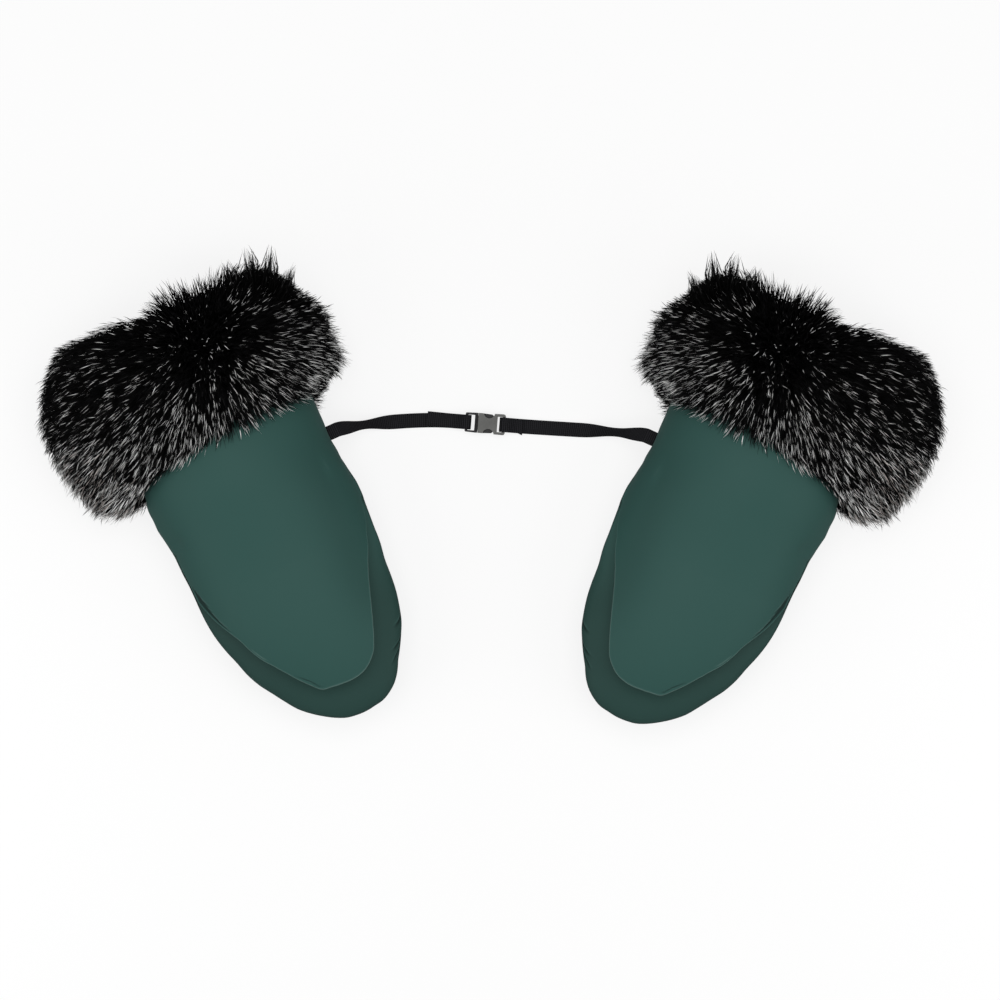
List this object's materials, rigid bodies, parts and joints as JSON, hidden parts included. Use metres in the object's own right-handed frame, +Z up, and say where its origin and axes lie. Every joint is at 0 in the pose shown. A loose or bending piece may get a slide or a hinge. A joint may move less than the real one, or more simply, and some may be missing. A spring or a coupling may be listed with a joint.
{
  "type": "stroller hand muff",
  "caption": "Pair of padded pram mitts with fur cuffs and fold-back flaps, joined by a webbing strap with a side-release buckle.",
  "frame": {"origin": "bottom centre of the pair's box, on the surface it lies on, between the two mitts", "axes": "+X to the right in the picture, along the strap; +Y from the tips towards the fur mouths; +Z up from the surface, towards the fronts of the mitts"},
  "size_m": [0.6316, 0.3286, 0.1077],
  "materials": {
    "coated_fabric": "dark green coated cloth with a low sheen",
    "polyester_wadding": "white wadding",
    "fleece_lining": "black short-pile fleece",
    "fur_pile": "long black pile with pale tips",
    "binding_tape": "black woven tape",
    "hook_and_loop_tape": "black hook-and-loop tape",
    "webbing": "black ribbed webbing",
    "black_acetal": "black moulded plastic",
    "grey_acetal": "grey moulded plastic"
  },
  "bodies": {
    "mitt_left": {"back_lining_left": "fleece_lining", "back_panel_left": "coated_fabric", "back_wadding_left": "polyester_wadding", "front_lining_left": "fleece_lining", "front_panel_left": "coated_fabric", "front_wadding_left": "polyester_wadding", "fur_cuff_left": "fur_pile", "hook_tape_inner_left": "hook_and_loop_tape", "hook_tape_outer_left": "hook_and_loop_tape", "hook_tape_tip_left": "hook_and_loop_tape", "mouth_binding_left": "binding_tape", "strap_left": "webbing", "buckle_plug": "black_acetal"},
    "flap_left": {"flap_lining_left": "fleece_lining", "flap_panel_left": "coated_fabric", "flap_wadding_left": "polyester_wadding", "loop_tape_inner_left": "hook_and_loop_tape", "loop_tape_outer_left": "hook_and_loop_tape", "loop_tape_tip_left": "hook_and_loop_tape"},
    "mitt_right": {"back_lining_right": "fleece_lining", "back_panel_right": "coated_fabric", "back_wadding_right": "polyester_wadding", "front_lining_right": "fleece_lining", "front_panel_right": "coated_fabric", "front_wadding_right": "polyester_wadding", "fur_cuff_right": "fur_pile", "hook_tape_inner_right": "hook_and_loop_tape", "hook_tape_outer_right": "hook_and_loop_tape", "hook_tape_tip_right": "hook_and_loop_tape", "mouth_binding_right": "binding_tape", "strap_right": "webbing", "buckle_socket": "grey_acetal"},
    "flap_right": {"flap_lining_right": "fleece_lining", "flap_panel_right": "coated_fabric", "flap_wadding_right": "polyester_wadding", "loop_tape_inner_right": "hook_and_loop_tape", "loop_tape_outer_right": "hook_and_loop_tape", "loop_tape_tip_right": "hook_and_loop_tape"},
    "prong_upper": {"latch_prong_upper": "black_acetal"},
    "prong_lower": {"latch_prong_lower": "black_acetal"}
  },
  "joints": [
    {"name": "buckle_release", "type": "slide", "parent": "mitt_right", "child": "mitt_left", "axis": [-0.9969, 0.0785, 0], "range_m": [0, 0.025], "deforming": ["latch_prong_upper", "latch_prong_lower"]},
    {"name": "flap_right_fold", "type": "hinge", "parent": "mitt_right", "child": "flap_right", "pos_m": [0.16016, -0.02073, 0.07876], "axis": [-0.9114, 0.4115, 0], "range_deg": [0, 75]},
    {"name": "flap_left_fold", "type": "hinge", "parent": "mitt_left", "child": "flap_left", "pos_m": [-0.16016, -0.01653, 0.07876], "axis": [-0.9114, -0.4115, 0], "range_deg": [0, 75]},
    {"name": "prong_upper_squeeze", "type": "hinge", "parent": "mitt_left", "child": "prong_upper", "pos_m": [-0.00908, 0.05022, 0.0033], "axis": [0, 0, -1], "range_deg": [0, 14], "stiffness_Nm_per_rad": 0.05},
    {"name": "prong_lower_squeeze", "type": "hinge", "parent": "mitt_left", "child": "prong_lower", "pos_m": [-0.00969, 0.04244, 0.0033], "axis": [0, 0, 1], "range_deg": [0, 14], "stiffness_Nm_per_rad": 0.05}
  ]
}
